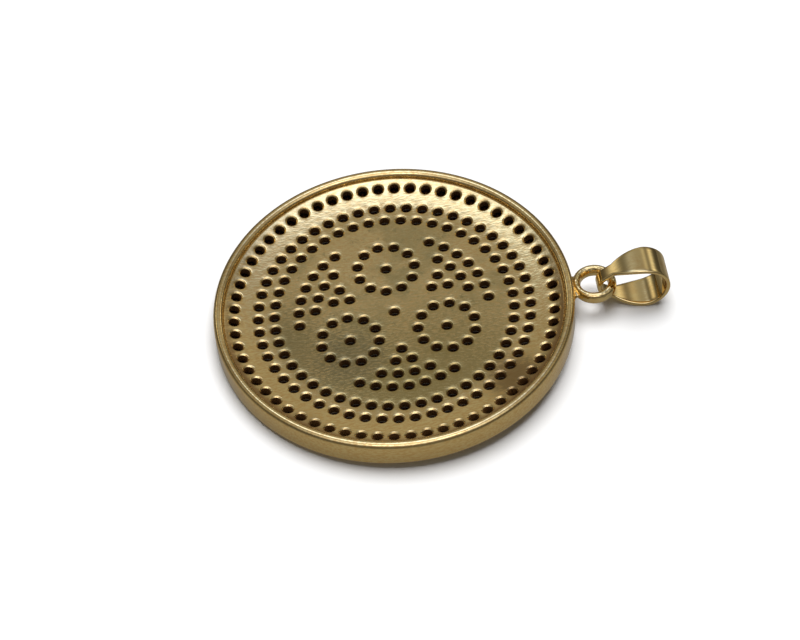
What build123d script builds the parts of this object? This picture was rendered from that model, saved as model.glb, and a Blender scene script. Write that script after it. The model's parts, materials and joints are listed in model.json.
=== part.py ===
from build123d import *
from math import asin, atan2, cos, degrees, hypot, pi, radians, sin, sqrt, tan
import os

os.makedirs("parts", exist_ok=True)

# Medallion pendant, lying face down with its bail towards +Y. Millimetres, +Z up from the table.
# Each piece is drawn in the medallion's own frame, z = 0 at the middle of the plate's back face
# and +Z out of the back. The last block leans them all together on the table.

# Rim
disc_radius = 16.70
rim_wall = 0.94
rim_rise = 0.74
rim_edge_round = 0.25

# Plate, flat in the middle and raised towards the rim in two shallow cones
plate_thickness = 1.05
inner_slope = 4.5
outer_slope = 12.0

# Stones, with tables a little inside the rim's front edge
stone_diameter = 1.25
table_diameter = 0.70
culet_diameter = 0.04
crown_height = 0.17
pavilion_angle = 41.0
stone_space = 0.245
stone_shelter = 0.14

# Seats, and the azure holes that open them to the back
seat_clearance = 0.06
hole_diameter = 0.92
mouth_width = 0.15
mouth_depth = 0.12
overrun = 0.3

# Three rings of stones, from the rim inwards
rim_gap = 0.335
band_gap = 0.96
ring_gap = 0.24
bend_gap = 0.175

# Three rosettes, and three fans between them
figure_count = 3
rosette_reach = 5.21
rosette_radius = 2.68
fan_space = 0.28
fan_rows = (
    # distance from the middle as a share of the inner ring's radius, spread in degrees
    (0.4010, 0.0),
    (0.5235, 15.0),
    (0.6605, 35.8),
    (0.7965, 60.0),
)

# Eye of oval wire, and the solder that holds it to the rim's edge
wire_width = 0.82
wire_height = 1.26
eye_inside = 2.52
eye_height = -0.65
eye_sink = 0.04
solder_foot = 2.84
solder_head = 2.40
solder_reach = 0.50
solder_thickness = 0.72
solder_round = 0.18

# Bail, a strip folded into an egg-shaped loop and tapered to its narrow end
strip_thickness = 0.40
bail_play = 0.65
lobe_radius = 2.50
lobe_reach = 2.74
leg_radius = 5.8
tip_width = 1.30
bail_width = 3.18
taper_length = 2.60
strip_round = 0.13

# Sizes that follow from those above
rim_drop = plate_thickness + crown_height + stone_shelter
bore_radius = disc_radius - rim_wall
crown_radius = rim_wall / 2
stone_radius = stone_diameter / 2
outer_ring = bore_radius - rim_gap - stone_radius
middle_ring = outer_ring - band_gap - stone_diameter
inner_ring = middle_ring - ring_gap - stone_diameter
flat_radius = inner_ring + stone_radius + bend_gap
bend_radius = (middle_ring + outer_ring) / 2
eye_radius = (eye_inside + wire_width) / 2
eye_y = disc_radius - eye_sink + wire_width / 2 + eye_radius
hinge_y = eye_y + eye_radius
tip_radius = wire_width / 2 + bail_play + strip_thickness


def slope_at(radius):
    """Slope of the plate at a radius, in degrees."""
    if radius < flat_radius:
        return 0.0
    return inner_slope if radius < bend_radius else outer_slope


def back_height(radius):
    """Height of the plate's back face at a radius."""
    inner_run = min(max(radius - flat_radius, 0.0), bend_radius - flat_radius)
    outer_run = max(radius - bend_radius, 0.0)
    return inner_run * tan(radians(inner_slope)) + outer_run * tan(radians(outer_slope))


def ring_places(radius, centre=(0.0, 0.0), start=90.0):
    """Evenly spaced places round a circle, as many as the stones' pitch lets in."""
    count = int(2 * pi * radius / (stone_diameter + stone_space))
    turns = [radians(start + 360.0 * k / count) for k in range(count)]
    return [(centre[0] + radius * cos(t), centre[1] + radius * sin(t)) for t in turns]


def fan_places(axis_angle):
    """Places of one fan, each row centred on the fan's axis."""
    places = []
    pitch = stone_diameter + fan_space
    for distance, spread in fan_rows:
        radius = distance * inner_ring
        spaces = round(radians(spread) * radius / pitch)
        for k in range(spaces + 1):
            t = radians(axis_angle) + (k - spaces / 2) * pitch / radius
            places.append((radius * cos(t), radius * sin(t)))
    return places


def rosette_places(angle):
    """Places of one rosette, a ring of stones with one in its middle."""
    centre = (rosette_reach * cos(radians(angle)), rosette_reach * sin(radians(angle)))
    return [centre] + ring_places(rosette_radius, centre, angle - 90.0)


# Every stone's place over the plate
places = [(0.0, 0.0)]
for ring_radius in (outer_ring, middle_ring, inner_ring):
    places += ring_places(ring_radius)
for figure in range(figure_count):
    places += fan_places(360.0 * figure / figure_count)
    places += rosette_places(360.0 * figure / figure_count + 180.0)


def seat_plane(place, depth):
    """Plane at a depth under the back face at a place, facing squarely out of the back."""
    radius = hypot(*place)
    slope = radians(slope_at(radius))
    t = atan2(place[1], place[0])
    out = radius + depth * sin(slope)
    return Plane(
        origin=(out * cos(t), out * sin(t), back_height(radius) - depth * cos(slope)),
        x_dir=(-sin(t), cos(t), 0.0),
        z_dir=(-sin(slope) * cos(t), -sin(slope) * sin(t), cos(slope)),
    )


front_seats = [seat_plane(place, plate_thickness).location for place in places]

# Cutter for one seat and its hole, standing on the front face, its lower cone following the
# pavilion and its upper one opening the hole's mouth in the back
pavilion_rise = tan(radians(pavilion_angle))
seat_radius = stone_radius + seat_clearance / sin(radians(pavilion_angle))
hole_radius = hole_diameter / 2
with BuildPart() as cutter:
    with BuildSketch(Plane.XZ) as cutter_half:
        with BuildLine():
            Polyline(
                (0.0, -overrun),
                (seat_radius + overrun / pavilion_rise, -overrun),
                (hole_radius, (seat_radius - hole_radius) * pavilion_rise),
                (hole_radius, plate_thickness - mouth_depth),
                (hole_radius + mouth_width * (1 + overrun / mouth_depth), plate_thickness + overrun),
                (0.0, plate_thickness + overrun),
                close=True,
            )
        make_face()
    revolve(axis=Axis.Z)

# Solder, a rounded web between the rim and the eye
with BuildPart() as solder:
    with BuildSketch(Plane.XY.offset(eye_height)) as solder_outline:
        with BuildLine():
            Polyline(
                (-solder_foot / 2, disc_radius - crown_radius),
                (solder_foot / 2, disc_radius - crown_radius),
                (solder_foot / 2, disc_radius),
                (solder_head / 2, disc_radius + solder_reach),
                (-solder_head / 2, disc_radius + solder_reach),
                (-solder_foot / 2, disc_radius),
                close=True,
            )
        make_face()
    extrude(amount=solder_thickness / 2, both=True)
    fillet(solder.edges().group_by(Axis.Z)[0] + solder.edges().group_by(Axis.Z)[-1], solder_round)

# Plate, rim, eye and solder, one soldered piece with every seat cut through it
front_shift = plate_thickness * tan(radians(inner_slope) / 2)
bend_shift = plate_thickness * tan(radians(inner_slope + outer_slope) / 2)
front_drop = plate_thickness / cos(radians(outer_slope))
with BuildPart() as metal:
    with BuildSketch(Plane.XZ) as section:
        with BuildLine():
            Polyline(
                (0.0, 0.0),
                (flat_radius, 0.0),
                (bend_radius, back_height(bend_radius)),
                (bore_radius, back_height(bore_radius)),
                (bore_radius, rim_rise),
            )
            ThreePointArc(
                (bore_radius, rim_rise),
                (bore_radius + crown_radius, rim_rise + crown_radius),
                (disc_radius, rim_rise),
            )
            Polyline(
                (disc_radius, rim_rise),
                (disc_radius, -rim_drop),
                (bore_radius, -rim_drop),
                (bore_radius, back_height(bore_radius) - front_drop),
                (bend_radius + bend_shift, back_height(bend_radius + bend_shift) - front_drop),
                (flat_radius + front_shift, -plate_thickness),
                (0.0, -plate_thickness),
                (0.0, 0.0),
            )
        make_face()
    revolve(axis=Axis.Z)
    fillet(metal.edges().group_by(Axis.Z)[0].sort_by(SortBy.RADIUS)[-1], rim_edge_round)
    with BuildSketch(Plane.XZ.offset(-eye_y)) as wire:
        with Locations((eye_radius, eye_height)):
            Ellipse(wire_width / 2, wire_height / 2)
    revolve(axis=Axis((0.0, eye_y, 0.0), (0.0, 0.0, 1.0)))
    add(solder.part)
    with Locations(*front_seats):
        add(cutter.part, mode=Mode.SUBTRACT)

# One cut stone, table down, with eight crown facets and eight pavilion facets
with BuildPart() as stone:
    with BuildSketch(Plane.XY.offset(-crown_height)) as table:
        RegularPolygon(table_diameter / 2, 8)
    with BuildSketch(Plane.XY) as girdle:
        RegularPolygon(stone_radius, 8)
    with BuildSketch(Plane.XY.offset(stone_radius * pavilion_rise)) as culet:
        RegularPolygon(culet_diameter / 2, 8)
    loft(sections=[table.sketch.face(), girdle.sketch.face()])
    loft(sections=[girdle.sketch.face(), culet.sketch.face()])

# Bail, the looped strip cut to its tapered outline. Each leg's arc touches the tip and the lobe.
tip_arm = leg_radius - tip_radius
lobe_arm = leg_radius - lobe_radius
leg_y = (lobe_reach ** 2 + tip_arm ** 2 - lobe_arm ** 2) / (2 * lobe_reach)
leg_z = -sqrt(tip_arm ** 2 - leg_y ** 2)
tip_turn = degrees(atan2(-leg_z, -leg_y))
lobe_turn = degrees(atan2(-leg_z, lobe_reach - leg_y))
with BuildPart() as loop:
    with BuildSketch(Plane(origin=(0.0, hinge_y, eye_height), x_dir=(0, 1, 0), z_dir=(1, 0, 0))) as egg:
        with BuildLine():
            CenterArc((0.0, 0.0), tip_radius, tip_turn, 180.0 - tip_turn)
            CenterArc((leg_y, leg_z), leg_radius, lobe_turn, tip_turn - lobe_turn)
            CenterArc((lobe_reach, 0.0), lobe_radius, 0.0, lobe_turn)
            mirror(about=Plane.XZ)
        make_face()
        offset(amount=-strip_thickness, mode=Mode.SUBTRACT)
    extrude(amount=bail_width / 2, both=True)
    with BuildSketch(Plane(origin=(0.0, hinge_y, eye_height))) as taper:
        with BuildLine():
            Polyline(
                (0.0, -tip_radius),
                (tip_width / 2, -tip_radius),
                (tip_width / 2, 0.0),
                (bail_width / 2, taper_length),
                (bail_width / 2, lobe_reach + lobe_radius),
                (0.0, lobe_reach + lobe_radius),
            )
            mirror(about=Plane.YZ)
        make_face()
    extrude(amount=lobe_radius, both=True, mode=Mode.INTERSECT)
    fillet(loop.edges(), strip_round)

# The pendant leans on the table on its rim and on its bail's lobe
lobe_y = hinge_y + lobe_reach
foot_y = disc_radius - rim_edge_round
foot_z = rim_edge_round - rim_drop
foot_to_lobe = hypot(lobe_y + foot_y, eye_height - foot_z)
lean = asin((lobe_radius - rim_edge_round) / foot_to_lobe) - atan2(eye_height - foot_z, lobe_y + foot_y)
lift = rim_edge_round + foot_y * sin(lean) - foot_z * cos(lean)
near_end = -(disc_radius - crown_radius) * cos(lean) - rim_rise * sin(lean) - crown_radius
far_end = lobe_y * cos(lean) - eye_height * sin(lean) + lobe_radius
lying = Location((0.0, -(near_end + far_end) / 2, lift), (degrees(lean), 0.0, 0.0))

with BuildPart() as medallion:
    with Locations(lying):
        add(metal.part)
medallion.part.label = "medallion"
export_step(medallion.part, "parts/medallion.step")

with BuildPart() as bail:
    with Locations(lying):
        add(loop.part)
bail.part.label = "bail"
export_step(bail.part, "parts/bail.step")

with BuildPart() as stones:
    with Locations(lying):
        with Locations(*front_seats):
            add(stone.part)
stones.part.label = "stones"
export_step(stones.part, "parts/stones.step")
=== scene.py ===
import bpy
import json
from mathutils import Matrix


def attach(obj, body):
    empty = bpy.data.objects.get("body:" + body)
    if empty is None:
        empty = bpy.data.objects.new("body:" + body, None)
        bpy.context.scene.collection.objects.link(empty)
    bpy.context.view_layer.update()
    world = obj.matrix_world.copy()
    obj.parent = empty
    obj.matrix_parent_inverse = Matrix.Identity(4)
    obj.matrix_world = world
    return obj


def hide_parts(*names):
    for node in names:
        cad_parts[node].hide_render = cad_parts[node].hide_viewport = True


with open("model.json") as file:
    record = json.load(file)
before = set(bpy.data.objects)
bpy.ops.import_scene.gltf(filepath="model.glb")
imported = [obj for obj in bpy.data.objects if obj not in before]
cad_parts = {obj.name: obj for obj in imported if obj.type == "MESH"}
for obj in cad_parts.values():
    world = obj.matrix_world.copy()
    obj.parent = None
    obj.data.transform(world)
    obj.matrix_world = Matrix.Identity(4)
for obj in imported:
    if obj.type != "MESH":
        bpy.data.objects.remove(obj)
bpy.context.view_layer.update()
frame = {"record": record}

import json
import math

import bpy
import numpy as np
from bpy.props import FloatProperty, FloatVectorProperty, IntProperty, PointerProperty
from bpy.types import Operator, Panel, PropertyGroup
from mathutils import Matrix
from mathutils.geometry import delaunay_2d_cdt

bl_info = {
    "name": "Medallion Pendant",
    "version": (1, 0, 0),
    "blender": (4, 5, 0),
    "location": "3D View > Sidebar > Pendant",
    "description": "Gilt medallion pendant with a pierced back, a soldered eye and a strip bail",
    "category": "Object",
}

MM = 0.001
MM_PER_METRE = 1000.0

# The medallion's own frame has z = 0 at the middle of its back, +Z out of the back and +Y to the
# bail. The front edge's place and direction give the lean that the pendant lies with.
FRONT_DROP = 1.36 * MM
front_edge = next(m for m in frame["record"]["mounts"] if m["name"] == "front_edge")
LEAN = math.atan2(front_edge["axis"][1], -front_edge["axis"][2])
LYING = Matrix.Translation((
    0.0,
    front_edge["pos_m"][1] - FRONT_DROP * math.sin(LEAN),
    front_edge["pos_m"][2] + FRONT_DROP * math.cos(LEAN),
)) @ Matrix.Rotation(LEAN, 4, "X")


# Sizes and colours

def length(title, text, size):
    """One length of the pendant, given in millimetres and kept in metres."""
    return FloatProperty(
        name=title, description=text, default=size * MM, min=0.0, unit="LENGTH", precision=5)


def turn(title, text, degrees):
    """One angle, given in degrees."""
    return FloatProperty(name=title, description=text, default=math.radians(degrees), subtype="ANGLE")


def colour(title, text, value):
    """One linear colour."""
    return FloatVectorProperty(
        name=title, description=text, default=value, size=3, min=0.0, max=1.0, subtype="COLOR")


def share(title, text, value, top=1.0):
    """One plain factor."""
    return FloatProperty(name=title, description=text, default=value, min=0.0, max=top)


class PENDANT_PG_body(PropertyGroup):
    disc_radius: length("Disc radius", "Outside of the rim", 16.70)
    rim_wall: length("Rim wall", "Thickness of the half-round rim", 0.94)
    rim_rise: length("Rim rise", "Height of the wall, under its round top", 0.74)
    edge_round: length("Edge round", "Rounding of the rim's outer front edge", 0.25)
    foot_round: length("Foot round", "Hollow at the wall's foot on the back", 0.11)
    plate: length("Plate", "Thickness of the pierced plate", 1.05)
    flat_radius: length("Flat radius", "Where the back starts to climb", 11.5)
    dish_radius: length("Dish radius", "Radius of the climbing arc", 16.0)
    hole_radius: length("Hole radius", "Radius of each hole", 0.46)
    mouth_width: length("Mouth width", "Width of the sloped mouth round a hole", 0.13)
    mouth_depth: length("Mouth depth", "Depth of that mouth under the back", 0.115)
    seat_clearance: length("Seat clearance", "Gap between a stone and its seat", 0.06)
    rim_steps: IntProperty(name="Rim steps", description="Steps round the rim", default=288, min=32)
    hole_steps: IntProperty(name="Hole steps", description="Steps round each hole", default=16, min=6)


class PENDANT_PG_stones(PropertyGroup):
    diameter: length("Stone", "Width of one stone", 1.25)
    table: length("Table", "Width of its flat table", 0.70)
    crown: length("Crown", "Height of its crown", 0.17)
    pavilion: turn("Pavilion", "Slope of its pavilion", 41.0)
    space: length("Space", "Least gap between two stones of a ring", 0.245)
    rim_gap: length("Rim gap", "From the rim to the outer ring's stones", 0.335)
    band_gap: length("Band gap", "From the outer to the middle ring's stones", 0.96)
    ring_gap: length("Ring gap", "From the middle to the inner ring's stones", 0.24)
    rosette_reach: length("Rosette reach", "From the middle to a rosette's middle", 5.21)
    rosette_radius: length("Rosette radius", "Radius of a rosette's ring", 2.68)
    fan_space: length("Fan space", "Gap between two stones of a fan", 0.28)
    bead_radius: length("Bead radius", "Radius of a bead that holds the stones", 0.17)
    bead_height: length("Bead height", "Height of such a bead over the front", 0.15)
    tint: colour("Stone tint", "Colour of the clear stones", (0.96, 0.97, 0.98))


class PENDANT_PG_eye(PropertyGroup):
    wire_width: length("Wire width", "Width of the eye's oval wire", 0.82)
    wire_height: length("Wire height", "Height of the eye's oval wire", 1.26)
    inside: length("Inside", "Inner diameter of the eye", 2.52)
    sink: length("Sink", "How far the eye is let into the rim", 0.04)
    drop: length("Drop", "Height of the eye under the medallion's back", 0.65)
    web_width: length("Web width", "Half width of the solder at its waist", 1.20)
    web_height: length("Web height", "Half height of the solder at its waist", 0.31)


class PENDANT_PG_bail(PropertyGroup):
    strip: length("Strip", "Thickness of the strip", 0.40)
    play: length("Play", "Gap between the strip and the eye's wire", 0.65)
    lobe_radius: length("Lobe radius", "Outer radius of the wide end", 2.50)
    lobe_reach: length("Lobe reach", "From the wire's middle to the lobe's middle", 2.74)
    leg_radius: length("Leg radius", "Outer radius of the bowed legs", 5.8)
    tip_width: length("Tip width", "Width of the narrow end", 1.30)
    width: length("Width", "Width of the wide end", 3.18)
    taper: length("Taper", "From the wire's middle to the full width", 3.70)
    corner: length("Corner", "Rounding of the strip's edges", 0.15)
    steps: IntProperty(name="Steps", description="Steps round the loop", default=200, min=24)


class PENDANT_PG_gilt(PropertyGroup):
    gold: colour("Gold", "Pale plating where it is clean", (0.88, 0.665, 0.285))
    warm: colour("Warm gold", "Plating where it is thin or rubbed", (0.78, 0.50, 0.175))
    stain: colour("Stain", "Clouding of the plate's back", (0.40, 0.32, 0.125))
    rim_gloss: share("Rim roughness", "Roughness of the polished rim", 0.05)
    plate_gloss: share("Plate roughness", "Roughness of the plate's back", 0.10)


class PENDANT_PG_studio(PropertyGroup):
    azimuth: turn("Azimuth", "Camera's direction in the medallion's frame", 85.45)
    elevation: turn("Elevation", "Camera's height in the medallion's frame", 50.60)
    roll: turn("Roll", "Camera's roll", -5.51)
    distance: length("Distance", "Camera's distance along its axis", 380.66)
    shift_right: length("Shift right", "Picture's centre, right of the medallion's middle", 0.531)
    shift_down: length("Shift down", "Picture's centre, below the medallion's middle", 0.804)
    lens: FloatProperty(name="Lens", description="Focal length on a 36 mm wide sensor, mm", default=185.49)
    key: share("Key light", "Strength of the shadow's light", 3.6, 100.0)
    haze: share("Haze", "Plain light that the metal mirrors", 0.07)
    fill: share("Fill", "Plain light that the table gets", 0.08)


# Meshes

def lie(points):
    """Places of the medallion's own frame, laid on the table with the pendant's lean."""
    m = np.array(LYING)
    return points @ m[:3, :3].T + m[:3, 3]


def piece(name, points, faces, materials, body, sharp=None, smooth=True, paint=None):
    """A mesh piece from one array of points and a list of face arrays, laid on the table.
    sharp marks points by the crease they are on, and an edge between two of a crease is sharp.
    paint gives the material's number for each face array."""
    points = lie(np.asarray(points, float).reshape(-1, 3))
    sizes = np.concatenate([np.full(len(f), f.shape[1]) for f in faces])
    corners = np.concatenate([f.ravel() for f in faces]).astype(np.int32)
    mesh = bpy.data.meshes.new(name)
    mesh.vertices.add(len(points))
    mesh.vertices.foreach_set("co", points.astype(np.float32).ravel())
    mesh.loops.add(len(corners))
    mesh.loops.foreach_set("vertex_index", corners)
    mesh.polygons.add(len(sizes))
    mesh.polygons.foreach_set("loop_start", np.concatenate([[0], np.cumsum(sizes)[:-1]]).astype(np.int32))
    mesh.polygons.foreach_set("loop_total", sizes.astype(np.int32))
    mesh.update(calc_edges=True)
    mesh.validate()
    mesh.polygons.foreach_set("use_smooth", np.full(len(mesh.polygons), smooth))
    if sharp is not None:
        ends = np.empty(len(mesh.edges) * 2, np.int32)
        mesh.edges.foreach_get("vertices", ends)
        ends = ends.reshape(-1, 2)
        mark = sharp[ends]
        mesh.edges.foreach_set("use_edge_sharp", (mark[:, 0] > 0) & (mark[:, 0] == mark[:, 1]))
    for material in materials:
        mesh.materials.append(material)
    if paint is not None:
        numbers = np.concatenate([np.full(len(f), number) for f, number in zip(faces, paint)])
        mesh.polygons.foreach_set("material_index", numbers.astype(np.int32))
    thing = bpy.data.objects.new(name, mesh)
    bpy.context.scene.collection.objects.link(thing)
    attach(thing, body)
    return thing


def grid_faces(rows, columns, start=0, wrap_rows=False, flip=False):
    """Quads of a grid of points kept row after row, closed along its columns' direction, and
    along its rows' too where wrap_rows is set."""
    r = np.arange(rows if wrap_rows else rows - 1)[:, None]
    c = np.arange(columns)[None, :]
    r_next, c_next = (r + 1) % rows, (c + 1) % columns
    here, beyond = r * columns, r_next * columns
    quads = np.stack([here + c, here + c_next, beyond + c_next, beyond + c], axis=-1)
    quads = quads.reshape(-1, 4) + start
    return quads[:, ::-1] if flip else quads


def full_turn(steps):
    """Evenly spaced angles of a full turn, in radians."""
    return 2 * math.pi * np.arange(steps) / steps


def at_angles(angles, radius=1.0):
    """Points of a plane at the angles, in radians, and at a distance from its origin."""
    return np.stack([radius * np.cos(angles), radius * np.sin(angles)], axis=-1)


def arc(centre, radius, first, last, steps):
    """Points of a circle's arc in a plane, from the angle first to the angle last, in degrees."""
    return centre + at_angles(np.radians(np.linspace(first, last, steps)), radius)


# Where the stones stand

def ring_places(stones, radius, centre=(0.0, 0.0), start=90.0):
    """Evenly spaced places on a circle, as many as the stones' pitch lets in."""
    count = int(2 * math.pi * radius / (stones.diameter + stones.space))
    return centre + at_angles(np.radians(start) + full_turn(count), radius)


# Rows of a fan: distance from the middle as a share of the inner ring's radius, spread in degrees
FAN_ROWS = ((0.4010, 0.0), (0.5235, 15.0), (0.6605, 35.8), (0.7965, 60.0))


def fan_places(stones, inner_ring, axis_angle):
    """Places of one fan: on each row's circle, evenly spaced about the fan's axis."""
    pitch = stones.diameter + stones.fan_space
    rows = []
    for distance, spread in FAN_ROWS:
        radius = distance * inner_ring
        spaces = round(math.radians(spread) * radius / pitch)
        t = math.radians(axis_angle) + (np.arange(spaces + 1) - spaces / 2) * pitch / radius
        rows.append(at_angles(t, radius))
    return np.concatenate(rows)


def stone_places(body, stones):
    """Every stone's place in the plate's plan: the middle, three rings, three fans, three rosettes."""
    outer = body.disc_radius - body.rim_wall - stones.rim_gap - stones.diameter / 2
    middle = outer - stones.band_gap - stones.diameter
    inner = middle - stones.ring_gap - stones.diameter
    groups = [np.zeros((1, 2))] + [ring_places(stones, radius) for radius in (outer, middle, inner)]
    for angle in (0.0, 120.0, 240.0):
        groups.append(fan_places(stones, inner, angle))
        centre = at_angles(math.radians(angle + 180.0), stones.rosette_reach)
        groups += [centre[None], ring_places(stones, stones.rosette_radius, centre, angle + 90.0)]
    return np.concatenate(groups)


def dish(body, plan):
    """The plate's back over points of its plan, with its normals: flat to flat_radius, then an
    arc of dish_radius whose centre stands over that circle."""
    r = np.linalg.norm(plan, axis=-1, keepdims=True)
    slope = np.arcsin(np.maximum(r - body.flat_radius, 0.0) / body.dish_radius)
    out = plan / np.maximum(r, 1e-9)
    points = np.concatenate([plan, body.dish_radius * (1 - np.cos(slope))], axis=-1)
    normals = np.concatenate([-np.sin(slope) * out, np.cos(slope)], axis=-1)
    return points, normals


# Plate and rim

# How much higher than wide the hollow at the wall's foot is
FOOT_STRETCH = 1.35

# How far inside the bore the slope of the plate's front edge is read
FRONT_INSET = 0.25 * MM

# A hole's mouth from the back inwards: each ring's place past the hole's radius as a share of the
# mouth's width, and its depth as a share of the mouth's depth
MOUTH_SECTION = ((1.45, 0.0), (1.0, 0.07), (0.80, 0.22), (0.12, 0.90), (0.0, 1.15))

# Rings of a hole before its wall turns to painted shade, dark brown and unpolished
MOUTH_RINGS = 3

# Material of the body's face arrays: rim, mouths, painted shade on the holes' walls, back and front
BODY_PAINT = (0, 0, 1, 0, 0)

# The net that fills the sheets: its step, its gap to a hole, its gap to the edge as a share of the
# step, and how close two points may lie, in millimetres
NET_STEP = 0.42 * MM
NET_GAP = 0.10 * MM
NET_EDGE = 0.6
NET_TOUCH = 1e-7


def rim_profile(body, front_r):
    """The rim's section from the plate's back, over its half-round top and round its front edge
    to the plate's front, as (radius, height) rows."""
    bore = body.disc_radius - body.rim_wall
    crown = body.rim_wall / 2
    start, _ = dish(body, np.array([[bore - body.foot_round, 0.0]]))
    t = np.radians(np.linspace(0, 90, 5))
    foot = np.column_stack([
        start[0, 0] + body.foot_round * np.sin(t),
        start[0, 2] + FOOT_STRETCH * body.foot_round * (1 - np.cos(t)),
    ])
    top = arc((bore + crown, body.rim_rise), crown, 180, 0, 17)
    edge_middle = (body.disc_radius - body.edge_round, body.edge_round - FRONT_DROP)
    edge = arc(edge_middle, body.edge_round, 0, -90, 6)
    point, normal = dish(body, np.array([[front_r, 0.0]]))
    front = point[0] - body.plate * normal[0]
    inside = np.array([[bore, -FRONT_DROP], [bore, front[2]]])
    return np.concatenate([foot, top, edge, inside])


def hole_rings(body, stones):
    """Rings down one hole, from its sloped mouth in the back through the plate to the seat's
    edge on the front, as (radius, height over the back) rows."""
    mouth = [
        (body.hole_radius + across * body.mouth_width, -down * body.mouth_depth)
        for across, down in MOUTH_SECTION
    ]
    seat = stones.diameter / 2 + body.seat_clearance / math.sin(stones.pavilion)
    seat_depth = (seat - body.hole_radius) * math.tan(stones.pavilion)
    return np.array(mouth + [(body.hole_radius, seat_depth - body.plate), (seat, -body.plate)])


def sheet_faces(plans, rings):
    """Triangles that fill a sheet between its outer circle and its holes. plans lists the plan
    points, rings each point's hole number or -1. A triangle that closes a hole is left out."""
    scaled = [tuple(p) for p in (plans * MM_PER_METRE).tolist()]
    _, _, triangles, origins, _, _ = delaunay_2d_cdt(scaled, [], [], 0, NET_TOUCH)
    origin = np.array([o[0] for o in origins])
    triangles = origin[np.array(triangles)]
    hole = rings[triangles]
    closes = (hole[:, 0] >= 0) & (hole[:, 0] == hole[:, 1]) & (hole[:, 1] == hole[:, 2])
    triangles = triangles[~closes]
    a, b, c = (plans[triangles[:, k]] for k in range(3))
    area = (b - a)[:, 0] * (c - a)[:, 1] - (b - a)[:, 1] * (c - a)[:, 0]
    triangles[area < 0] = triangles[area < 0][:, ::-1]
    return triangles


def filling(places, reach, edge):
    """Points of a hexagonal net, inside the edge circle and clear of every hole by reach."""
    count = int(edge / NET_STEP) + 1
    i, j = np.meshgrid(np.arange(-count, count + 1), np.arange(-2 * count, 2 * count + 1))
    net = np.column_stack([(i + 0.5 * (j % 2)).ravel(), (j * math.sqrt(0.75)).ravel()]) * NET_STEP
    net = net[np.linalg.norm(net, axis=1) < edge - NET_STEP * NET_EDGE]
    apart = np.linalg.norm(net[:, None] - places[None], axis=-1).min(axis=1)
    return net[apart > reach]


def hole_grids(body, rings, places):
    """Rings of points down every hole, square to the plate there, and the plan of each point."""
    angles = np.arctan2(places[:, 1], places[:, 0])[:, None] + full_turn(body.hole_steps)[None]
    spokes = at_angles(angles)
    plan = places[:, None, None] + rings[None, :, None, :1] * spokes[:, None]
    surface, _ = dish(body, plan)
    _, axis = dish(body, places)
    return surface + rings[None, :, None, 1:] * axis[:, None, None], plan


def body_mesh(body, stones):
    """Plate and rim as one closed skin: the rim's section turned round, a ring grid down every hole
    and a triangulated sheet on either side. Gives points, face arrays and each point's crease."""
    places = stone_places(body, stones)
    bore = body.disc_radius - body.rim_wall
    front_r = bore - body.plate * (bore - FRONT_INSET - body.flat_radius) / body.dish_radius
    profile = rim_profile(body, front_r)
    turned = at_angles(full_turn(body.rim_steps))
    heights = np.broadcast_to(profile[:, None, 1:], (len(profile), body.rim_steps, 1))
    rim = np.concatenate([profile[:, None, :1] * turned[None], heights], axis=-1)
    rings = hole_rings(body, stones)
    holes, plan = hole_grids(body, rings, places)

    rim_creases = np.zeros(rim.shape[:2], int)
    rim_creases[-2], rim_creases[-1] = 1, 2
    hole_creases = np.zeros(holes.shape[:3], int)
    for k, ring in enumerate((MOUTH_RINGS, -2, -1)):
        hole_creases[:, ring] = 3 + k + 3 * np.arange(len(places))[:, None]
    blocks = [rim.reshape(-1, 3), holes.reshape(-1, 3)]
    creases = [rim_creases.ravel(), hole_creases.ravel()]

    faces = [grid_faces(len(profile), body.rim_steps, flip=True)]
    one_hole = grid_faces(len(rings), body.hole_steps)
    firsts = rim_creases.size + len(rings) * body.hole_steps * np.arange(len(places))
    mouth = MOUTH_RINGS * body.hole_steps
    for part in (one_hole[:mouth], one_hole[mouth:]):
        faces.append((part[None] + firsts[:, None, None]).reshape(-1, 4))

    start = rim_creases.size + hole_creases.size
    for back in (True, False):
        ring, edge_r, edge_row = (0, profile[0, 0], 0) if back else (-1, front_r, len(profile) - 1)
        net = filling(places, rings[ring, 0] + NET_GAP, edge_r)
        surface, normals = dish(body, net)
        blocks.append(surface if back else surface - body.plate * normals)
        creases.append(np.zeros(len(net), int))
        plans = np.concatenate([edge_r * turned, plan[:, ring].reshape(-1, 2), net])
        rows = firsts[:, None] + ring % len(rings) * body.hole_steps + np.arange(body.hole_steps)
        index = np.concatenate([
            edge_row * body.rim_steps + np.arange(body.rim_steps),
            rows.ravel(),
            start + np.arange(len(net)),
        ])
        hole_of = np.concatenate([
            np.full(body.rim_steps, -1),
            np.repeat(np.arange(len(places)), body.hole_steps),
            np.full(len(net), -1),
        ])
        triangles = index[sheet_faces(plans, hole_of)]
        faces.append(triangles if back else triangles[:, ::-1])
        start += len(net)
    return np.concatenate(blocks), faces, np.concatenate(creases)


# Eye, solder and bail

# Solder web: how far it starts inside the rim's edge and ends past it, and where its flare at the
# rim starts inside that edge and over what length it dies out
WEB_START, WEB_END = 0.30 * MM, 0.52 * MM
FLARE_START, FLARE_FALL = 0.06 * MM, 0.13 * MM

# Its flare at the rim and at the eye, each in half width and half height
RIM_FLARE = (0.42 * MM, 0.26 * MM)
EYE_FLARE = (0.10 * MM, 0.05 * MM)

# Powers that square its section, in width and height, where 1 is an ellipse
WEB_SQUARING = (0.7, 0.85)

# Points of each of the bail's rounded corners, and places across its flat sides, as shares of the
# half width
CORNER_POINTS = 5
STRIP_PLACES = np.array([-0.8, -0.4, 0.0, 0.4, 0.8])


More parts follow.
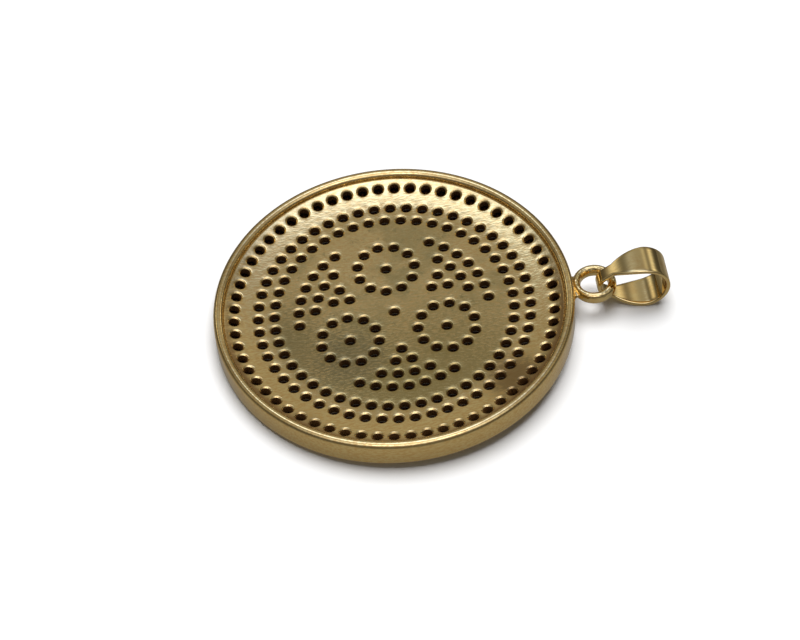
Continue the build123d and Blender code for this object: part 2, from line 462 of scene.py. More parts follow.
def torus(centre, radius, wire_width, wire_height, around=96, across=32):
    """Level ring of oval wire: an ellipse of the wire's width and height carried round a circle."""
    t, p = full_turn(around)[:, None], full_turn(across)[None]
    out = radius + wire_width / 2 * np.cos(p)
    points = np.stack([out * np.cos(t), out * np.sin(t), wire_height / 2 * np.sin(p) + 0 * t], axis=-1)
    return points.reshape(-1, 3) + np.array(centre), grid_faces(around, across, wrap_rows=True, flip=True)


def solder_web(body, eye, rows=22, across=28):
    """Solder between the rim and the eye: a flattened tube along +Y whose half width and half
    height flare out at the rim as a falling exponential, closed at both ends inside the metal."""
    v = np.linspace(0, 1, rows)
    y = body.disc_radius - WEB_START + (WEB_START + WEB_END) * v
    rise = np.exp(-np.maximum(y - (body.disc_radius - FLARE_START), 0) / FLARE_FALL)
    half_x = eye.web_width + RIM_FLARE[0] * rise + EYE_FLARE[0] * v ** 4
    half_z = eye.web_height + RIM_FLARE[1] * rise + EYE_FLARE[1] * v ** 3
    cx, cz = at_angles(full_turn(across)).T
    x = half_x[:, None] * np.sign(cx) * np.abs(cx) ** WEB_SQUARING[0]
    z = half_z[:, None] * np.sign(cz) * np.abs(cz) ** WEB_SQUARING[1] - eye.drop
    points = np.stack([x, np.broadcast_to(y[:, None], x.shape), z], axis=-1).reshape(-1, 3)
    near_cap = np.arange(across)[None]
    far_cap = (rows - 1) * across + np.arange(across)[None, ::-1]
    return points, [grid_faces(rows, across, flip=True), near_cap, far_cap]


def bail_path(bail, tip_radius):
    """Outer line of the bail seen from its side, closed: a tip arc round the wire, a bowed leg, the
    wide lobe and the other leg. Gives the points and the outward directions, evenly stepped."""
    tip_arm, lobe_arm = bail.leg_radius - tip_radius, bail.leg_radius - bail.lobe_radius
    leg_y = (bail.lobe_reach ** 2 + tip_arm ** 2 - lobe_arm ** 2) / (2 * bail.lobe_reach)
    leg_z = math.sqrt(tip_arm ** 2 - leg_y ** 2)
    tip_turn = math.atan2(leg_z, -leg_y)
    lobe_turn = math.atan2(leg_z, bail.lobe_reach - leg_y)
    # centre along y, centre along z, radius, first angle, last angle
    arcs = np.array([
        (bail.lobe_reach, 0.0, bail.lobe_radius, -lobe_turn, lobe_turn),
        (leg_y, -leg_z, bail.leg_radius, lobe_turn, tip_turn),
        (0.0, 0.0, tip_radius, tip_turn, 2 * math.pi - tip_turn),
        (leg_y, leg_z, bail.leg_radius, 2 * math.pi - tip_turn, 2 * math.pi - lobe_turn),
    ])
    spans = arcs[:, 2] * (arcs[:, 4] - arcs[:, 3])
    ends = np.concatenate([[0.0], np.cumsum(spans)])
    along = ends[-1] * np.arange(bail.steps) / bail.steps
    which = np.searchsorted(ends, along, side="right") - 1
    cy, cz, r, a0, _ = arcs[which].T
    out = at_angles(a0 + (along - ends[which]) / r)
    return np.column_stack([cy, cz]) + r[:, None] * out, out


def strip_section(bail):
    """Section of the strip with rounded corners, in rows of four: the share of the half width to
    the corner's middle, the height of that middle, and the place off it across and up."""
    rows = []
    for k, (side, face) in enumerate(((1, 1), (-1, 1), (-1, -1), (1, -1))):
        bend = bail.corner * arc((0.0, 0.0), 1.0, 90 * k, 90 * k + 90, CORNER_POINTS)
        level = np.full(CORNER_POINTS, face * (bail.strip / 2 - bail.corner))
        rows.append(np.column_stack([np.full(CORNER_POINTS, side), level, bend]))
        if k in (0, 2):
            level = np.full(len(STRIP_PLACES), face * bail.strip / 2)
            off = np.zeros((len(STRIP_PLACES), 2))
            rows.append(np.column_stack([-side * STRIP_PLACES, level, off]))
    return np.concatenate(rows)


def bail_mesh(eye, bail, hinge_y):
    """Bail: a flat section with rounded corners carried round the loop. Its half width follows a
    circle's arc from tip_width at the wire, level with the sides at width at the taper's end."""
    line, out = bail_path(bail, eye.wire_width / 2 + bail.play + bail.strip)
    flare = (bail.width - bail.tip_width) / 2
    curve = (flare ** 2 + bail.taper ** 2) / (2 * flare)
    short = bail.taper - np.clip(line[:, 0], 0.0, bail.taper)
    half = bail.width / 2 - curve + np.sqrt(curve ** 2 - short ** 2)
    section = strip_section(bail)
    x = section[None, :, 0] * (half[:, None] - bail.corner) + section[None, :, 2]
    n = section[None, :, 1] + section[None, :, 3] - bail.strip / 2
    y = hinge_y + line[:, :1] + n * out[:, :1]
    z = -eye.drop + line[:, 1:] + n * out[:, 1:]
    points = np.stack([x, y, z], axis=-1).reshape(-1, 3)
    return points, [grid_faces(len(line), len(section), wrap_rows=True, flip=True)]


# Stones and beads

# Cut stone: its star tips and lower tips, out from the axis, as shares of the mean of the girdle's
# and the table's radius and of the girdle's radius
STAR_REACH = 0.98
LOW_REACH = 0.28

# Material of its face arrays: crown, kites and table clear, both rows of the pavilion with painted shade
# outside and foil within
STONE_PAINT = (0, 0, 0, 1, 1)

# Beads: stones closer than this many diameters share a pair of beads, one further off than the
# second stands alone
NEIGHBOURS, ALONE = 1.32, 1.5

# A bead's place beside the line between two stones and outside a lone stone, and its least gap to
# a stone and to the rim
BESIDE, OUTSIDE = 0.47 * MM, 0.16 * MM
STONE_GAP, RIM_GAP = 0.04 * MM, 0.25 * MM

# A bead's rings: radius as a share of its own, and height as a share of its own
BEAD_RINGS = ((1.0, -0.4), (0.93, 0.45), (0.55, 0.9))


def brilliant(stones):
    """One cut stone, table down at the girdle's height 0: points and faces. Star tips and lower
    tips lie on the planes of the kites beside them, so every facet is flat."""
    r, t = stones.diameter / 2, stones.table / 2
    depth = r * math.tan(stones.pavilion)
    k = math.radians(22.5)
    eight, sixteen = np.arange(8), np.arange(16)

    def circle(radius, height, angles):
        return np.column_stack([at_angles(angles, radius), np.full(len(angles), height)])

    star, low = STAR_REACH * (r + t) / 2, LOW_REACH * r
    star_height = -stones.crown * (r - star * math.cos(k)) / (r - t)
    low_height = depth * (1 - low * math.cos(k) / r)
    points = np.concatenate([
        circle(t, -stones.crown, 2 * k * eight),
        circle(star, star_height, 2 * k * eight + k),
        circle(r, 0.0, k * sixteen),
        circle(low, low_height, 2 * k * eight + k),
        [[0.0, 0.0, depth]],
    ])
    table, star_i, girdle, low_i, culet = eight, 8 + eight, 16 + sixteen, 32 + eight, 40
    even, odd, next_even = girdle[::2], girdle[1::2], np.roll(girdle[::2], -1)
    crown = np.concatenate([
        np.column_stack([table, star_i, np.roll(table, -1)]),
        np.column_stack([star_i, even, odd]),
        np.column_stack([star_i, odd, next_even]),
    ])
    kites = np.column_stack([table, np.roll(star_i, 1), even, star_i])
    pavilion = np.concatenate([
        np.column_stack([low_i, odd, even]),
        np.column_stack([low_i, next_even, odd]),
    ])
    mains = np.column_stack([np.full(8, culet), low_i, even, np.roll(low_i, 1)])
    faces = [crown, kites, table[None, ::-1], pavilion, mains]
    middle = points.mean(axis=0)
    return points, [outward(points, f, middle) for f in faces]


def outward(points, faces, middle):
    """The same faces, each turned so that it faces away from the middle of its convex solid."""
    a, b, c = (points[faces[:, k]] for k in range(3))
    inward = np.einsum("ij,ij->i", np.cross(b - a, c - a), a - middle) < 0
    faces = faces.copy()
    faces[inward] = faces[inward][:, ::-1]
    return faces


def bases(body, places):
    """Place on the plate's front and three directions square to the plate, for each stone or bead."""
    points, normals = dish(body, places)
    along = np.column_stack([-places[:, 1], places[:, 0], np.zeros(len(places))])
    along[np.linalg.norm(along, axis=1) < 1e-9] = (1.0, 0.0, 0.0)
    along /= np.linalg.norm(along, axis=1, keepdims=True)
    return points - body.plate * normals, along, np.cross(normals, along), normals


def scatter(shape, faces, frames, turns):
    """Copies of one shape on many frames, each turned about its own axis."""
    origin, x, y, z = frames
    c, s = np.cos(turns)[:, None], np.sin(turns)[:, None]
    px = shape[None, :, 0] * c - shape[None, :, 1] * s
    py = shape[None, :, 0] * s + shape[None, :, 1] * c
    pz = np.broadcast_to(shape[None, :, 2], px.shape)
    points = origin[:, None] + px[..., None] * x[:, None] + py[..., None] * y[:, None]
    points = points + pz[..., None] * z[:, None]
    shift = len(shape) * np.arange(len(origin))[:, None, None]
    return points.reshape(-1, 3), [(f[None] + shift).reshape(-1, f.shape[1]) for f in faces]


def bead_places(body, stones):
    """Beads between neighbouring stones, one each side of the line that joins them, and four
    round a stone that stands alone. Beads that would meet a stone or each other are dropped."""
    places = stone_places(body, stones)
    gap = np.linalg.norm(places[:, None] - places[None], axis=-1)
    first, second = np.nonzero(np.triu(gap < stones.diameter * NEIGHBOURS, 1))
    middle = (places[first] + places[second]) / 2
    line = (places[second] - places[first]) / gap[first, second][:, None]
    side = np.column_stack([-line[:, 1], line[:, 0]]) * BESIDE
    np.fill_diagonal(gap, 1.0)
    alone = places[gap.min(axis=1) > stones.diameter * ALONE]
    round_it = at_angles(math.pi / 4 + full_turn(4), stones.diameter / 2 + OUTSIDE)
    lone = (alone[:, None] + round_it[None]).reshape(-1, 2)
    beads = np.concatenate([middle + side, middle - side, lone])
    to_stones = np.linalg.norm(beads[:, None] - places[None], axis=-1).min(axis=1)
    inside = np.linalg.norm(beads, axis=1) < body.disc_radius - body.rim_wall - RIM_GAP
    beads = beads[(to_stones > stones.diameter / 2 + STONE_GAP) & inside]
    apart = np.linalg.norm(beads[:, None] - beads[None], axis=-1)
    earlier = np.tril(apart < 2 * stones.bead_radius, -1).any(axis=1)
    return beads[~earlier]


def bead(stones, steps=8):
    """One bead: three rings of a dome and its top, with its foot sunk in the plate."""
    rings = [
        np.column_stack([
            at_angles(full_turn(steps), wide * stones.bead_radius),
            np.full(steps, -high * stones.bead_height),
        ])
        for wide, high in BEAD_RINGS
    ]
    points = np.concatenate(rings + [[[0.0, 0.0, -stones.bead_height]]])
    last = 2 * steps + np.arange(steps)
    fan = np.column_stack([last, np.roll(last, -1), np.full(steps, 3 * steps)])
    faces = [grid_faces(3, steps), fan, np.arange(steps)[None]]
    return points, [outward(points, f, points.mean(axis=0)) for f in faces]


# Helpers for shader nodes

def new_group(name, inputs, outputs):
    """An empty shader node group with named sockets, each given as (name, kind, default)."""
    group = bpy.data.node_groups.new(name, "ShaderNodeTree")
    for title, kind, default in inputs:
        socket = group.interface.new_socket(title, in_out="INPUT", socket_type="NodeSocket" + kind)
        if default is not None:
            socket.default_value = default
    for title, kind in outputs:
        group.interface.new_socket(title, in_out="OUTPUT", socket_type="NodeSocket" + kind)
    return group, group.nodes.new("NodeGroupInput").outputs, group.nodes.new("NodeGroupOutput").inputs


def node(tree, kind, links=(), **settings):
    """A shader node with its settings made and its inputs linked or set, by name or number."""
    made = tree.nodes.new("ShaderNode" + kind)
    for key, value in settings.items():
        setattr(made, key, value)
    for key, value in dict(links).items():
        if isinstance(value, bpy.types.NodeSocket):
            tree.links.new(value, made.inputs[key])
        else:
            made.inputs[key].default_value = value
    return made


def maths(tree, operation, *values, clamp=False):
    """Result of a maths node over sockets or numbers."""
    return node(tree, "Math", dict(enumerate(values)), operation=operation, use_clamp=clamp).outputs[0]


def product(tree, *values):
    """Product of several sockets or numbers."""
    result = values[0]
    for value in values[1:]:
        result = maths(tree, "MULTIPLY", result, value)
    return result


def ramp(tree, value, low, high, to_low=0.0, to_high=1.0):
    """A smooth change of a value from low to high, read out between to_low and to_high."""
    places = {0: value, 1: low, 2: high, 3: to_low, 4: to_high}
    return node(tree, "MapRange", places, interpolation_type="SMOOTHSTEP").outputs[0]


def vector(tree, operation, *values):
    """A vector maths node over sockets or numbers."""
    return node(tree, "VectorMath", dict(enumerate(values)), operation=operation)


def mix(tree, factor, first, second):
    """A mix of two colours."""
    made = node(tree, "Mix", {0: factor, 6: first, 7: second}, data_type="RGBA")
    return made.outputs[2]


def rgba(value):
    """A colour with full alpha, as a colour socket takes it."""
    return (value[0], value[1], value[2], 1.0)


def medallion_space(tree):
    """Object coordinates turned back into the medallion's own frame, in millimetres."""
    place = node(tree, "TexCoord").outputs["Object"]
    back = LYING.inverted()
    turned = node(tree, "Mapping", {
        "Vector": place,
        "Rotation": back.to_euler(),
        "Location": back.to_translation() * MM_PER_METRE,
        "Scale": (MM_PER_METRE,) * 3,
    })
    return turned.outputs[0]


def noise(tree, place, scale, **settings):
    """Value of a noise texture at a scale, with its other inputs by name."""
    links = {"Vector": place, "Scale": scale, **settings}
    return node(tree, "TexNoise", links).outputs[0]


# Parts of the noises' range over which clouds and spots come up, how much finer than the clouds the
# spots are, and the grain's stretch, longest along the brushing
CLOUD_RANGE = (0.42, 0.66)
SPOT_RANGE = (0.56, 0.70)
SPOT_FINENESS = 5.3
BRUSHING = (1.0, 0.35, 1.0)


def clouding_group():
    """Clouds, spots and fine grain of worn plating: a broad noise for the clouds, a finer one for
    the spots and a stretched fine one for the grain, which also drives the normal."""
    group, given, result = new_group("Plating Clouds", [
        ("Vector", "Vector", None), ("Cloud Size", "Float", 4.0), ("Amount", "Float", 0.5),
        ("Grain", "Float", 0.3), ("Grain Size", "Float", 0.12), ("Grain Depth", "Float", 0.00002),
    ], [("Cloud", "Float"), ("Spots", "Float"), ("Grain", "Float"), ("Normal", "Vector")])
    size = maths(group, "DIVIDE", 1.0, given["Cloud Size"])
    broad = noise(group, given["Vector"], size, Detail=6.0, Roughness=0.62, Distortion=0.5)
    middling = noise(group, given["Vector"], product(group, size, SPOT_FINENESS), Detail=4.0, Roughness=0.7)
    brushed = vector(group, "MULTIPLY", given["Vector"], BRUSHING).outputs[0]
    fine_scale = maths(group, "DIVIDE", 1.0, given["Grain Size"])
    fine = noise(group, brushed, fine_scale, Detail=3.0, Roughness=0.6)
    bump = node(group, "Bump", {
        "Strength": given["Grain"], "Distance": given["Grain Depth"], "Height": fine})
    cloud = product(group, ramp(group, broad, *CLOUD_RANGE), given["Amount"])
    spots = product(group, ramp(group, middling, *SPOT_RANGE), given["Amount"])
    for title, socket in (("Cloud", cloud), ("Spots", spots), ("Grain", fine), ("Normal", bump.outputs[0])):
        group.links.new(socket, result[title])
    return group


def clouds(tree, **values):
    """The clouding group, made once, placed in a material with that material's values."""
    group = bpy.data.node_groups.get("Plating Clouds") or clouding_group()
    links = {key.replace("_", " "): value for key, value in values.items()}
    return node(tree, "Group", links, node_tree=group).outputs


# Materials

def new_material(name):
    """A material with an empty node tree but its output."""
    material = bpy.data.materials.new(name)
    material.use_nodes = True
    tree = material.node_tree
    tree.nodes.clear()
    return material, tree, tree.nodes.new("ShaderNodeOutputMaterial")


def principled(tree, output, links):
    """A principled shader with its inputs linked or set, joined to the material's output."""
    tree.links.new(node(tree, "BsdfPrincipled", links).outputs[0], output.inputs[0])


# Darker patches painted on the plate's back, the largest over the flat's near half, in order of
# painting: middle and radius in millimetres, amount, linear colour, and whether the patch stays on the flat
PATCHES = (
    ((12.0, 3.0), 19.0, 0.85, (0.44, 0.325, 0.11), True),
    ((3.5, -13.0), 12.5, 0.80, (0.36, 0.27, 0.10), True),
    ((4.6, -4.6), 5.0, 0.50, (0.24, 0.20, 0.095), True),
    ((9.9, 9.6), 4.2, 0.80, (0.28, 0.17, 0.065), False),
    ((12.0, -10.4), 3.0, 0.35, (0.36, 0.21, 0.09), False),
)

# A patch's ragged edge and full middle, as shares of its radius
PATCH_WANDER, PATCH_FULL = 0.25, 0.35

# Radii, in millimetres, between which the flat's clouds die out and, from the bore, the rim's
# polish starts
FLAT_END = (12.4, 10.2)
POLISH_START = (-0.10, -0.02)

# Brown band painted on the plate at the wall's foot on the near side: radii from the bore, places
# towards the camera, amount and colour
NEAR_FOOT_BAND = (-0.75, -0.15)
NEAR_FOOT_SIDE = (-5.0, 4.0)
NEAR_FOOT_AMOUNT = 0.75
NEAR_FOOT_BROWN = (0.42, 0.22, 0.08)

# Part of the grain's range over which warm gold comes up, and how strongly it and the clouds show
MOTTLE_RANGE = (0.36, 0.66)
MOTTLE_AMOUNT = 0.85
CLOUD_AMOUNT = 0.72

# Spread of roughness with the grain, on the plate and on the small pieces, and roughness that the
# clouds add
PLATE_SPREAD, POLISHED_SPREAD = 0.08, 0.04
CLOUD_ROUGHNESS = 0.06


def patched(tree, base, flat, mottled, on_flat, on_plate):
    """The plate's colour with the darker patches painted over it."""
    for (x, y), reach, amount, tint, flat_only in PATCHES:
        away = vector(tree, "DISTANCE", flat, (x, y, 0.0)).outputs["Value"]
        ragged = maths(tree, "ADD", away, product(tree, mottled, PATCH_WANDER * reach))
        patch = ramp(tree, ragged, reach, PATCH_FULL * reach, 0.0, amount)
        base = mix(tree, product(tree, patch, on_flat if flat_only else on_plate), base, rgba(tint))
    return base


def gilt_medallion(gilt, body):
    """Plated metal of the medallion: clouded and grainy, with darker patches painted on the plate and
    a brown band painted at the wall's foot on the near side, polished on the rim."""
    material, tree, output = new_material("gilt_medallion")
    space = medallion_space(tree)
    towards = node(tree, "SeparateXYZ", {0: space}).outputs[0]
    flat = vector(tree, "MULTIPLY", space, (1.0, 1.0, 0.0)).outputs[0]
    radius = vector(tree, "LENGTH", flat).outputs["Value"]
    bore = (body.disc_radius - body.rim_wall) / MM
    on_rim = ramp(tree, radius, *(bore + step for step in POLISH_START))
    on_plate = maths(tree, "SUBTRACT", 1.0, on_rim)
    on_flat = ramp(tree, radius, *FLAT_END)
    made = clouds(tree, Vector=space, Cloud_Size=5.0, Amount=0.9, Grain=0.65, Grain_Size=0.18)
    mottled = ramp(tree, made["Grain"], *MOTTLE_RANGE)
    base = mix(tree, product(tree, mottled, MOTTLE_AMOUNT), rgba(gilt.gold), rgba(gilt.warm))
    clouded = product(tree, maths(tree, "ADD", made["Cloud"], made["Spots"], clamp=True), on_flat)
    base = mix(tree, product(tree, clouded, CLOUD_AMOUNT), base, rgba(gilt.stain))
    # Darker patches painted on the plate, the largest over the flat's near half
    base = patched(tree, base, flat, mottled, on_flat, on_plate)
    # A brown band painted at the wall's foot, on the near side only
    band = ramp(tree, radius, *(bore + step for step in NEAR_FOOT_BAND))
    near_foot_brown = product(tree, band, ramp(tree, towards, *NEAR_FOOT_SIDE), on_plate, NEAR_FOOT_AMOUNT)
    base = mix(tree, near_foot_brown, base, rgba(NEAR_FOOT_BROWN))
    rough = maths(tree, "ADD", product(tree, mottled, PLATE_SPREAD), gilt.plate_gloss - PLATE_SPREAD / 2)
    rough = maths(tree, "ADD", rough, product(tree, clouded, CLOUD_ROUGHNESS))
    rough = node(tree, "Mix", {0: on_rim, 2: rough, 3: gilt.rim_gloss}).outputs[0]
    look = {"Base Color": base, "Metallic": 1.0, "Roughness": rough, "Normal": made["Normal"]}
    principled(tree, output, look)
    return material


def hole_shade():
    """Painted shade down in the holes: their wall dark brown and unpolished."""
    material, tree, output = new_material("hole_shade")
    principled(tree, output, {
        "Base Color": (0.085, 0.038, 0.010, 1.0), "Metallic": 0.0,
        "Roughness": 0.55, "Specular IOR Level": 0.3})
    return material


def gilt_polished(gilt, name, roughness, dent_depth, dent_size):
    """Plated metal of the small polished pieces: slight clouds and shallow dents."""
    material, tree, output = new_material(name)
    made = clouds(tree, Vector=medallion_space(tree), Cloud_Size=1.6, Amount=0.55,
                  Grain=1.0, Grain_Size=dent_size, Grain_Depth=dent_depth)
    base = mix(tree, made["Cloud"], rgba(gilt.gold), rgba(gilt.warm))
    grain = product(tree, made["Grain"], POLISHED_SPREAD)
    rough = maths(tree, "ADD", grain, roughness - POLISHED_SPREAD / 2)
    look = {"Base Color": base, "Metallic": 1.0, "Roughness": rough, "Normal": made["Normal"]}
    principled(tree, output, look)
    return material


def cut_stone(stones):
    """Clear cut stone: a smooth dense glass."""
    material, tree, output = new_material("clear_stone")
    principled(tree, output, {
        "Base Color": rgba(stones.tint), "Metallic": 0.0,
        "Roughness": 0.02, "IOR": 1.9, "Transmission Weight": 1.0})
    return material


# Colour and roughness of the painted shade on the stones' backs, seen from outside, and of the silver foil
# seen from within the stone
BACK_SHADE, BACK_SHADE_ROUGHNESS = (0.06, 0.024, 0.008, 1.0), 0.42
SILVER, SILVER_ROUGHNESS = (0.93, 0.93, 0.92, 1.0), 0.05


def stone_back_shade():
    """Stones' backs: dark brown painted shade seen through the holes, silver foil seen from within."""
    material, tree, output = new_material("stone_back_shade")
    within = node(tree, "NewGeometry").outputs["Backfacing"]
    base = mix(tree, within, BACK_SHADE, SILVER)
    rough = ramp(tree, within, 0.0, 1.0, BACK_SHADE_ROUGHNESS, SILVER_ROUGHNESS)
    principled(tree, output, {"Base Color": base, "Metallic": 1.0, "Roughness": rough})
    return material


# Stage

# The table to the camera, mirrored and seen through the stones, and its glow where the mirrored ray
# meets it flat and steeply, with the facing values between which that changes
PAPER = (0.92, 0.92, 0.92, 1.0)
MIRRORED_PAPER = (0.13, 0.127, 0.12, 1.0)
SHADED_PAPER = (0.03, 0.03, 0.035, 1.0)
FLAT_GLOW, STEEP_GLOW = (0.012, 0.010, 0.008, 1.0), (0.185, 0.177, 0.162, 1.0)
GLOW_RANGE = (0.80, 0.40)


def pale_table():
    """The table: white paper to the camera, in the metal's reflections dim and half self-lit where
    they meet it steeply, and nearly black through the stones, which stand on its shadow."""
    material, tree, output = new_material("pale_table")
    path = node(tree, "LightPath").outputs
    bright = node(tree, "BsdfDiffuse", {"Color": PAPER})
    dim = node(tree, "BsdfDiffuse", {"Color": MIRRORED_PAPER})
    steep = ramp(tree, node(tree, "LayerWeight", {"Blend": 0.5}).outputs["Facing"], *GLOW_RANGE)
    glow = node(tree, "Emission", {"Color": mix(tree, steep, FLAT_GLOW, STEEP_GLOW)})
    mirrored = node(tree, "AddShader", {0: dim.outputs[0], 1: glow.outputs[0]})
    dark = node(tree, "BsdfDiffuse", {"Color": SHADED_PAPER})
    ways = {0: path["Is Transmission Ray"], 1: mirrored.outputs[0], 2: dark.outputs[0]}
    other = node(tree, "MixShader", ways)
    shader = node(tree, "MixShader", {0: path["Is Camera Ray"], 1: other.outputs[0], 2: bright.outputs[0]})
    tree.links.new(shader.outputs[0], output.inputs[0])
    return material


# Light of windows and lamps, warm and cool
LAMP = (1.00, 0.98, 0.93)
SKY = (0.96, 1.00, 1.25)

# Soft lights round the table: azimuth off the camera's side, which is 0, through the picture's left
# at 90 and the far side at 180, elevation in degrees, sharpness, strength and colour
SOFT_LIGHTS = (
    (180, 31, 16.0, 0.30, LAMP),
    (180, 50, 24.0, 0.10, (1.00, 0.97, 0.88)),
    (180, 74, 50.0, 1.35, (0.84, 1.02, 1.62)),
    (149, 60, 100.0, 1.20, (0.78, 1.00, 1.60)),
    (142, 70, 44.0, 0.95, (0.90, 1.00, 1.40)),
    (214, 70, 44.0, 0.65, (0.82, 1.00, 1.75)),
    (202, 46, 130.0, 0.28, LAMP),
    (224, 30, 90.0, 0.90, LAMP),
    (158, 46, 130.0, 0.10, LAMP),
    (136, 28, 90.0, 0.85, LAMP),
    (95, 40, 14.0, 0.26, LAMP),
    (265, 40, 14.0, 0.26, LAMP),
    (0, 36, 5.0, 0.14, (1.00, 0.98, 0.94)),
    (0, 54, 40.0, 1.45, SKY),
    (0, 84, 24.0, 0.95, (0.96, 1.00, 1.20)),
    (46, 52, 26.0, 0.85, SKY),
    (314, 52, 26.0, 1.05, SKY),
    (330, 62, 200.0, 2.60, SKY),
    (24, 60, 200.0, 2.20, SKY),
)


def light_direction(studio, azimuth, elevation):
    """Direction of a light from its azimuth off the camera's side and its elevation, in degrees."""
    t, e = studio.azimuth - math.radians(azimuth), math.radians(elevation)
    return math.sin(t) * math.cos(e), -math.cos(t) * math.cos(e), math.sin(e)


# Colour of the haze between the lights
HAZE_TINT = (1.0, 0.97, 0.92)

# Key light: azimuth and elevation, and the angle that it fills, in degrees
KEY_FROM = (195, 73)
KEY_SPREAD = 50


def studio_world(studio):
    """Surroundings that the metal mirrors: soft lights in the dark, each falling off as the
    exponential of its sharpness times the cosine less one. The table sees a plain grey."""
    world = bpy.data.worlds.new("studio")
    world.use_nodes = True
    tree = world.node_tree
    tree.nodes.clear()
    output = tree.nodes.new("ShaderNodeOutputWorld")
    ray = node(tree, "TexCoord").outputs["Generated"]
    total = tuple(studio.haze * share_of for share_of in HAZE_TINT)
    for azimuth, elevation, sharpness, strength, tint in SOFT_LIGHTS:
        towards = light_direction(studio, azimuth, elevation)
        cosine = vector(tree, "DOT_PRODUCT", ray, towards).outputs["Value"]
        power = product(tree, maths(tree, "SUBTRACT", cosine, 1.0), sharpness)
        level = product(tree, maths(tree, "EXPONENT", power), strength)
        glow = node(tree, "VectorMath", {0: tint, "Scale": level}, operation="SCALE").outputs[0]
        total = vector(tree, "ADD", glow, total).outputs[0]
    diffuse = node(tree, "LightPath").outputs["Is Diffuse Ray"]
    seen = mix(tree, diffuse, total, (studio.fill, studio.fill, studio.fill, 1.0))
    back = node(tree, "Background", {"Color": seen, "Strength": 1.0})
    tree.links.new(back.outputs[0], output.inputs[0])
    bpy.context.scene.world = world


def facing(x, y, z):
    """Matrix that turns the three axes to these directions."""
    return Matrix(np.column_stack([x, y, z]).tolist()).to_4x4()


def photo_camera(studio):
    """Camera in the medallion's frame, from its azimuth, elevation, roll, distance and the middle's
    offset in the view, then laid with the pendant."""
    a, e, r = studio.azimuth, studio.elevation, studio.roll
    back = np.array([math.sin(a) * math.cos(e), -math.cos(a) * math.cos(e), math.sin(e)])
    level = np.array([math.cos(a), math.sin(a), 0.0])
    upright = np.cross(back, level)
    right = math.cos(r) * level + math.sin(r) * upright
    up = -math.sin(r) * level + math.cos(r) * upright
    place = studio.shift_right * right - studio.shift_down * up + studio.distance * back
    data = bpy.data.cameras.new("photo_camera")
    data.sensor_width = 36.0
    data.lens = studio.lens
    data.clip_start, data.clip_end = 0.01, 5.0
    camera = bpy.data.objects.new("photo_camera", data)
    bpy.context.scene.collection.objects.link(camera)
    camera.matrix_world = LYING @ Matrix.Translation(place) @ facing(right, up, back)
    bpy.context.scene.camera = camera


def key_light(studio):
    """Soft high light on the far side, which draws the narrow shadow on the near side."""
    data = bpy.data.lights.new("key_light", "SUN")
    data.energy = studio.key
    data.angle = math.radians(KEY_SPREAD)
    light = bpy.data.objects.new("key_light", data)
    towards = np.array(light_direction(studio, *KEY_FROM))
    x = np.cross([0.0, 0.0, 1.0], towards)
    x /= np.linalg.norm(x)
    y = np.cross(towards, x)
    light.matrix_world = facing(x, y, towards)
    light.visible_glossy = False
    bpy.context.scene.collection.objects.link(light)


# Operators

def sizes(context):
    """The pendant's groups of sizes and colours, kept on the scene."""
    scene = context.scene
    groups = scene.pendant_body, scene.pendant_stones, scene.pendant_eye
    return *groups, scene.pendant_bail, scene.pendant_gilt


# Finish of the small pieces: roughness, depth of the dents in metres and their size in millimetres
WIRE_FINISH = (0.03, 0.00020, 0.90)
STRIP_FINISH = (0.05, 0.000008, 0.60)
BEAD_FINISH = (0.16, 0.00001, 0.30)

# Seed for the stones' turns about their axes
TURN_SEED = 7


class PENDANT_OT_body(Operator):
    """Build the pierced plate and its rim"""
    bl_idname = "pendant.body"
    bl_label = "Plate and rim"

    def execute(self, context):
        body, stones, _, _, gilt = sizes(context)
        points, faces, creases = body_mesh(body, stones)
        # The second look is painted shade down in the holes
        looks = [gilt_medallion(gilt, body), hole_shade()]
        thing = piece(
            "plate_and_rim", points, faces, looks, "pendant", creases, paint=BODY_PAINT)
        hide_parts("medallion")
        return {"FINISHED"}


class PENDANT_OT_eye(Operator):
    """Build the wire eye and its solder"""
    bl_idname = "pendant.eye"
    bl_label = "Eye and solder"

    def execute(self, context):
        body, _, eye, _, gilt = sizes(context)
        look = gilt_polished(gilt, "gilt_wire", *WIRE_FINISH)
        radius = (eye.inside + eye.wire_width) / 2
        centre = (0.0, body.disc_radius - eye.sink + eye.wire_width / 2 + radius, -eye.drop)
        points, faces = torus(centre, radius, eye.wire_width, eye.wire_height)
        piece("eye_ring", points, [faces], [look], "pendant")
        points, faces = solder_web(body, eye)
        piece("solder_web", points, faces, [look], "pendant")
        return {"FINISHED"}


class PENDANT_OT_bail(Operator):
    """Build the folded strip bail"""
    bl_idname = "pendant.bail"
    bl_label = "Bail"

    def execute(self, context):
        body, _, eye, bail, gilt = sizes(context)
        outer_wire = eye.inside + 1.5 * eye.wire_width
        hinge_y = body.disc_radius - eye.sink + outer_wire
        points, faces = bail_mesh(eye, bail, hinge_y)
        look = gilt_polished(gilt, "gilt_strip", *STRIP_FINISH)
        thing = piece("bail_strip", points, faces, [look], "bail")
        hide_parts("bail")
        return {"FINISHED"}


class PENDANT_OT_stones(Operator):
    """Build the field of cut stones on the front"""
    bl_idname = "pendant.stones"
    bl_label = "Stones"

    def execute(self, context):
        body, stones, _, _, _ = sizes(context)
        places = stone_places(body, stones)
        shape, faces = brilliant(stones)
        turns = np.random.default_rng(TURN_SEED).uniform(0.0, math.pi / 4, len(places))
        points, faces = scatter(shape, faces, bases(body, places), turns)
        # The second look is painted shade on the stones' backs, seen through the holes
        looks = [cut_stone(stones), stone_back_shade()]
        thing = piece(
            "cut_stones", points, faces, looks, "pendant", smooth=False, paint=STONE_PAINT)
        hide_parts("stones")
        return {"FINISHED"}


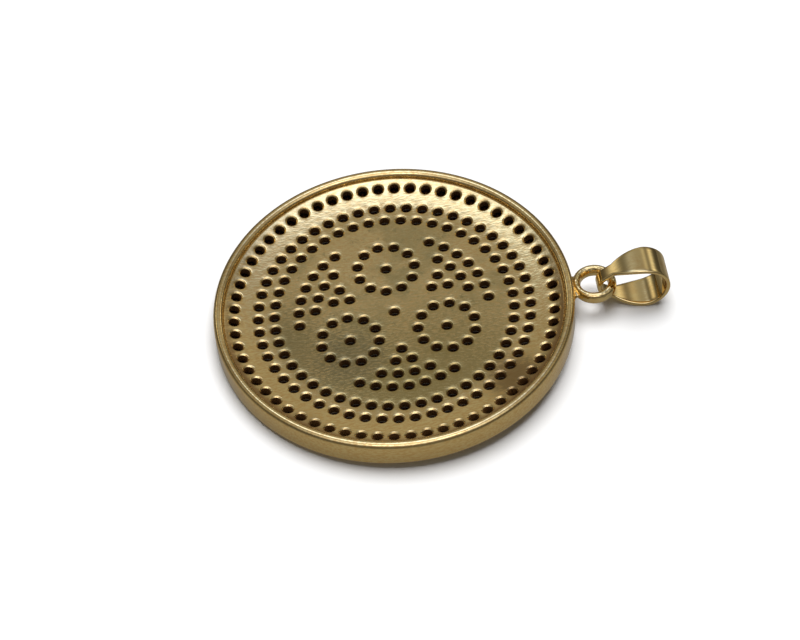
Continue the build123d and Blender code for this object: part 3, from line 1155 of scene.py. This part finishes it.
class PENDANT_OT_beads(Operator):
    """Build the beads that hold the stones"""
    bl_idname = "pendant.beads"
    bl_label = "Beads"

    def execute(self, context):
        body, stones, _, _, gilt = sizes(context)
        shape, faces = bead(stones)
        places = bead_places(body, stones)
        points, faces = scatter(shape, faces, bases(body, places), np.zeros(len(places)))
        look = gilt_polished(gilt, "gilt_beads", *BEAD_FINISH)
        piece("setting_beads", points, faces, [look], "pendant")
        return {"FINISHED"}


class PENDANT_OT_stage(Operator):
    """Build the table, the surroundings, the light and the camera"""
    bl_idname = "pendant.stage"
    bl_label = "Stage"

    def execute(self, context):
        studio = context.scene.pendant_studio
        mesh = bpy.data.meshes.new("table_top")
        mesh.from_pydata([(-1, -1, 0), (1, -1, 0), (1, 1, 0), (-1, 1, 0)], [], [(0, 1, 2, 3)])
        mesh.materials.append(pale_table())
        table = bpy.data.objects.new("table_top", mesh)
        context.scene.collection.objects.link(table)
        studio_world(studio)
        key_light(studio)
        photo_camera(studio)
        context.scene.view_settings.view_transform = "Standard"
        return {"FINISHED"}


class PENDANT_PT_panel(Panel):
    bl_label = "Medallion Pendant"
    bl_idname = "PENDANT_PT_panel"
    bl_space_type = "VIEW_3D"
    bl_region_type = "UI"
    bl_category = "Pendant"

    def draw(self, context):
        column = self.layout.column(align=True)
        for operator in OPERATORS:
            column.operator(operator.bl_idname)
        for name in GROUPS:
            box = self.layout.box()
            box.label(text=name.replace("pendant_", "").title())
            group = getattr(context.scene, name)
            for key in group.__annotations__:
                box.prop(group, key)


OPERATORS = (
    PENDANT_OT_body,
    PENDANT_OT_eye,
    PENDANT_OT_bail,
    PENDANT_OT_stones,
    PENDANT_OT_beads,
    PENDANT_OT_stage,
)
GROUPS = {
    "pendant_body": PENDANT_PG_body,
    "pendant_stones": PENDANT_PG_stones,
    "pendant_eye": PENDANT_PG_eye,
    "pendant_bail": PENDANT_PG_bail,
    "pendant_gilt": PENDANT_PG_gilt,
    "pendant_studio": PENDANT_PG_studio,
}


def register():
    for item in (*GROUPS.values(), *OPERATORS, PENDANT_PT_panel):
        bpy.utils.register_class(item)
    for name, group in GROUPS.items():
        setattr(bpy.types.Scene, name, PointerProperty(type=group))


def unregister():
    for name in GROUPS:
        delattr(bpy.types.Scene, name)
    for item in (PENDANT_PT_panel, *OPERATORS, *GROUPS.values()):
        bpy.utils.unregister_class(item)


def main():
    register()
    bpy.ops.pendant.body()
    bpy.ops.pendant.eye()
    bpy.ops.pendant.bail()
    bpy.ops.pendant.stones()
    bpy.ops.pendant.beads()
    bpy.ops.pendant.stage()


if __name__ == "__main__":
    main()
